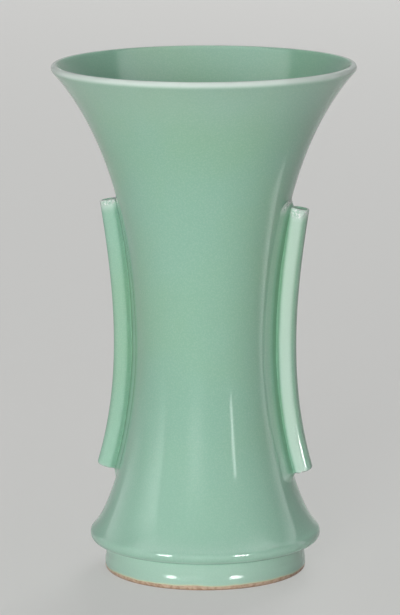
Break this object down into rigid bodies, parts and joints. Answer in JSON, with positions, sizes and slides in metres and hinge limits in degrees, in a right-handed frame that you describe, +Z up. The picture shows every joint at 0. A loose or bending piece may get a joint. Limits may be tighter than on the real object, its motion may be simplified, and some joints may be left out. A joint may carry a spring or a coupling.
{
  "type": "gu vase",
  "caption": "Tall vase with a wide flared mouth, a narrow waist, a bell-shaped lower body on a foot ring, and long tubular handles following the waist on opposite sides.",
  "frame": {"origin": "centre of the foot ring's resting face", "axes": "+Z up along the vase's axis, +X towards the right handle, -Y towards the viewer of the front"},
  "size_m": [0.1656, 0.1656, 0.28],
  "materials": {
    "celadon_glaze": "gloss"
  },
  "bodies": {
    "root": {"trumpet_section": "celadon_glaze", "bell_section": "celadon_glaze", "base_disc": "celadon_glaze", "foot_ring": "celadon_glaze", "left_handle": "celadon_glaze", "right_handle": "celadon_glaze"}
  },
  "joints": []
}
